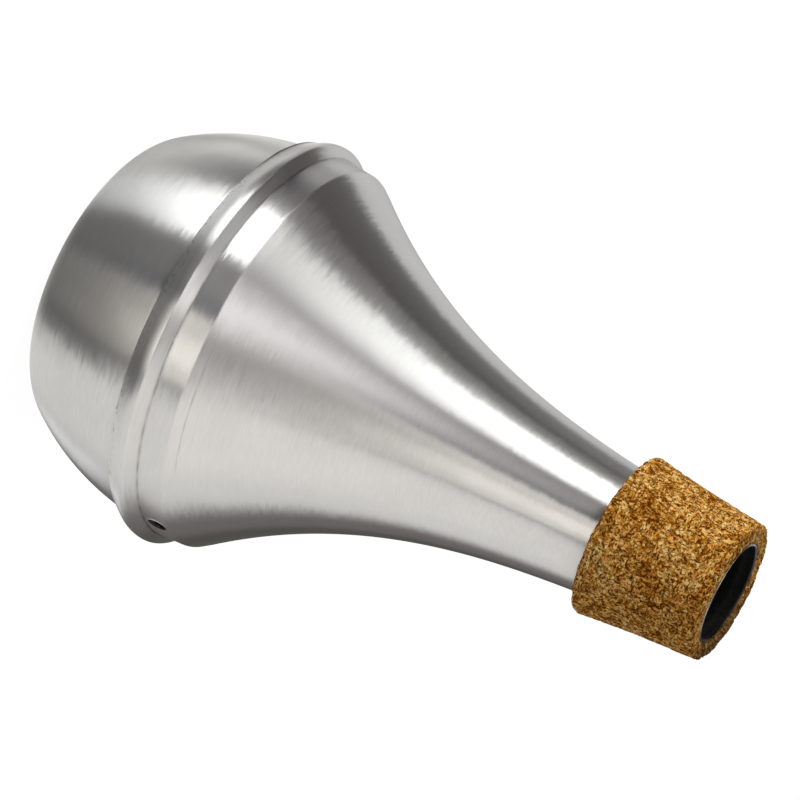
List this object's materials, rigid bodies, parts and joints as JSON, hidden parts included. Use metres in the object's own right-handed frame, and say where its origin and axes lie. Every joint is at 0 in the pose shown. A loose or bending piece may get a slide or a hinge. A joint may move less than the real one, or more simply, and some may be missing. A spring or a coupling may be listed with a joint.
{
  "type": "trumpet practice mute",
  "caption": "Spun aluminium practice mute with a flared body, a rolled bead seam, a bowl end, a vent hole and a tapered cork sleeve that seats in a trumpet's bell.",
  "frame": {"origin": "centre of the bowl's flat base, on the surface that the mute stands on", "axes": "+Z along the mute's axis, from the flat base to the cork end; the vent hole faces -Y"},
  "size_m": [0.095, 0.095, 0.157],
  "materials": {
    "spun_aluminium": "spun and brushed round the axis, satin",
    "cork": "pressed cork granules, sanded, matt",
    "black_liner": "matt black",
    "damping_foam": "open-cell foam, dark"
  },
  "bodies": {
    "root": {"body_shell": "spun_aluminium", "end_bowl": "spun_aluminium", "cork_sleeve": "cork", "neck_liner": "black_liner", "damping_ring": "damping_foam"}
  },
  "joints": []
}
